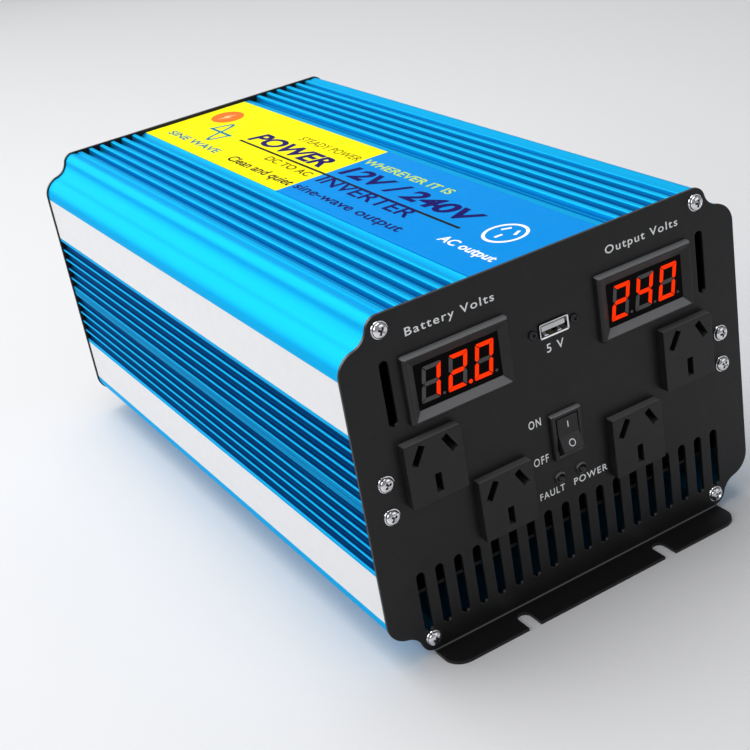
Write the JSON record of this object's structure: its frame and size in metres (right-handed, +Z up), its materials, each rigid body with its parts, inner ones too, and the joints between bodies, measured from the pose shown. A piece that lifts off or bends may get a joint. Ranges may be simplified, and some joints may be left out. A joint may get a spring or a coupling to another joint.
{
  "type": "power inverter",
  "caption": "Mains power inverter: ribbed blue two-part aluminium shell between black bent end panels with meters, outlets, rocker switch, fans and battery terminals.",
  "frame": {"origin": "on the surface the flanges stand on, under the centre of the bounding box", "axes": "+X right as seen from the front, +Y from the front panel to the rear panel, +Z up"},
  "size_m": [0.1892, 0.3626, 0.1514],
  "materials": {
    "anodised": "blue anodised extrusion, satin with fine drawn lines",
    "black_coat": "satin black powder coat",
    "label": "printed film, yellow rear part and blue front part",
    "white_trim": "matt off-white strip",
    "screw": "bright plated",
    "black_plastic": "fine moulded texture",
    "outlet_plastic": "fine moulded texture",
    "rocker": "smooth moulded",
    "guard_wire": "bright plated wire",
    "bare_aluminium": "milled",
    "display": "dark red filter over lit digits",
    "port_metal": "bright plated",
    "lens": "unlit tinted dome",
    "red_plastic": "moulded",
    "terminal_brass": "machined",
    "copper": "varnished copper",
    "board": "solder mask",
    "ferrite": "matt ferrite",
    "capacitor_sleeve": "shrink sleeve"
  },
  "bodies": {
    "inverter_body": {"upper_shell": "anodised", "lower_shell": "anodised", "front_panel": "black_coat", "rear_panel": "black_coat", "top_label": "label", "upper_trim_left": "white_trim", "lower_trim_left": "white_trim", "front_screw_top_left": "screw", "front_screw_upper_middle_left": "screw", "front_screw_lower_middle_left": "screw", "front_screw_bottom_left": "screw", "rear_screw_top_left": "screw", "rear_screw_bottom_left": "screw", "fan_frame_left": "black_plastic", "fan_guard_left": "guard_wire", "transistor_bank_left": "bare_aluminium", "upper_trim_right": "white_trim", "lower_trim_right": "white_trim", "front_screw_top_right": "screw", "front_screw_upper_middle_right": "screw", "front_screw_lower_middle_right": "screw", "front_screw_bottom_right": "screw", "rear_screw_top_right": "screw", "rear_screw_bottom_right": "screw", "fan_frame_right": "black_plastic", "fan_guard_right": "guard_wire", "transistor_bank_right": "bare_aluminium", "battery_meter_bezel": "black_plastic", "battery_meter_display": "display", "output_meter_bezel": "black_plastic", "output_meter_display": "display", "port_shell": "port_metal", "port_tongue": "white_trim", "switch_frame": "black_plastic", "fault_light": "lens", "power_light": "lens", "outlet_outer_left": "outlet_plastic", "outlet_inner_left": "outlet_plastic", "outlet_inner_right": "outlet_plastic", "outlet_outer_right": "outlet_plastic", "negative_terminal_base": "black_plastic", "negative_terminal_stud": "terminal_brass", "negative_terminal_nut": "terminal_brass", "negative_busbar": "copper", "positive_terminal_base": "red_plastic", "positive_terminal_stud": "terminal_brass", "positive_terminal_nut": "terminal_brass", "positive_busbar": "copper", "earth_screw": "terminal_brass", "main_board": "board", "control_board": "board", "transformer_core": "ferrite", "transformer_winding": "copper", "output_choke": "copper", "bus_capacitor": "capacitor_sleeve", "input_capacitor_left": "capacitor_sleeve", "input_capacitor_right": "capacitor_sleeve"},
    "rocker": {"switch_rocker": "rocker"},
    "left_rotor": {"fan_rotor_left": "black_plastic"},
    "right_rotor": {"fan_rotor_right": "black_plastic"}
  },
  "joints": [
    {"name": "rocker_tilt", "type": "hinge", "parent": "inverter_body", "child": "rocker", "pos_m": [0, -0.16635, 0.071], "axis": [1, 0, 0], "range_deg": [0, 24]},
    {"name": "left_fan_spin", "type": "hinge", "parent": "inverter_body", "child": "left_rotor", "pos_m": [-0.037, 0.14925, 0.095], "axis": [0, 1, 0], "continuous": true},
    {"name": "right_fan_spin", "type": "hinge", "parent": "inverter_body", "child": "right_rotor", "pos_m": [0.037, 0.14925, 0.095], "axis": [0, 1, 0], "continuous": true}
  ]
}
